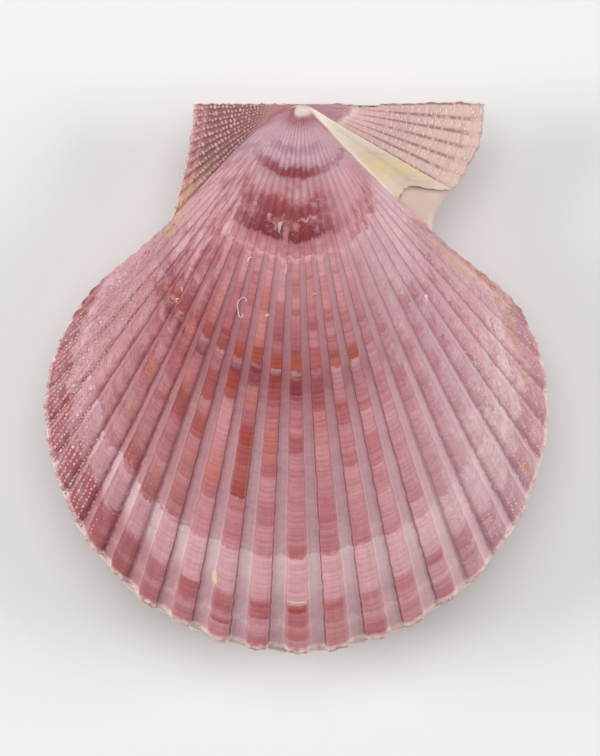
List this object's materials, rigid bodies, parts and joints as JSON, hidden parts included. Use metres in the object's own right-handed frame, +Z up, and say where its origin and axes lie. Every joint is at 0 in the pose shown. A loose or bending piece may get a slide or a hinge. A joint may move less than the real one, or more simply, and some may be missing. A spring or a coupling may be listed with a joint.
{
  "type": "scallop shell",
  "caption": "Closed two-valve scallop shell with flat-topped radiating ribs, unequal ears and a byssal notch, joined by its hinge ligament.",
  "frame": {"origin": "centre of the bounding box's bottom face, on the surface the shell rests on", "axes": "+X towards the front ear with the byssal notch, +Y from the lower margin to the hinge line, +Z up through the right valve"},
  "size_m": [0.0828, 0.0902, 0.0305],
  "materials": {
    "right_shell": "satin calcite shell, pink and brick red over cream, with a worn cream beak",
    "left_shell": "satin calcite shell, pale pink and grey mauve",
    "ligament": "dark brown, matt, elastic"
  },
  "bodies": {
    "root": {"right_valve": "right_shell", "left_valve": "left_shell", "hinge_ligament": "ligament"}
  },
  "joints": []
}
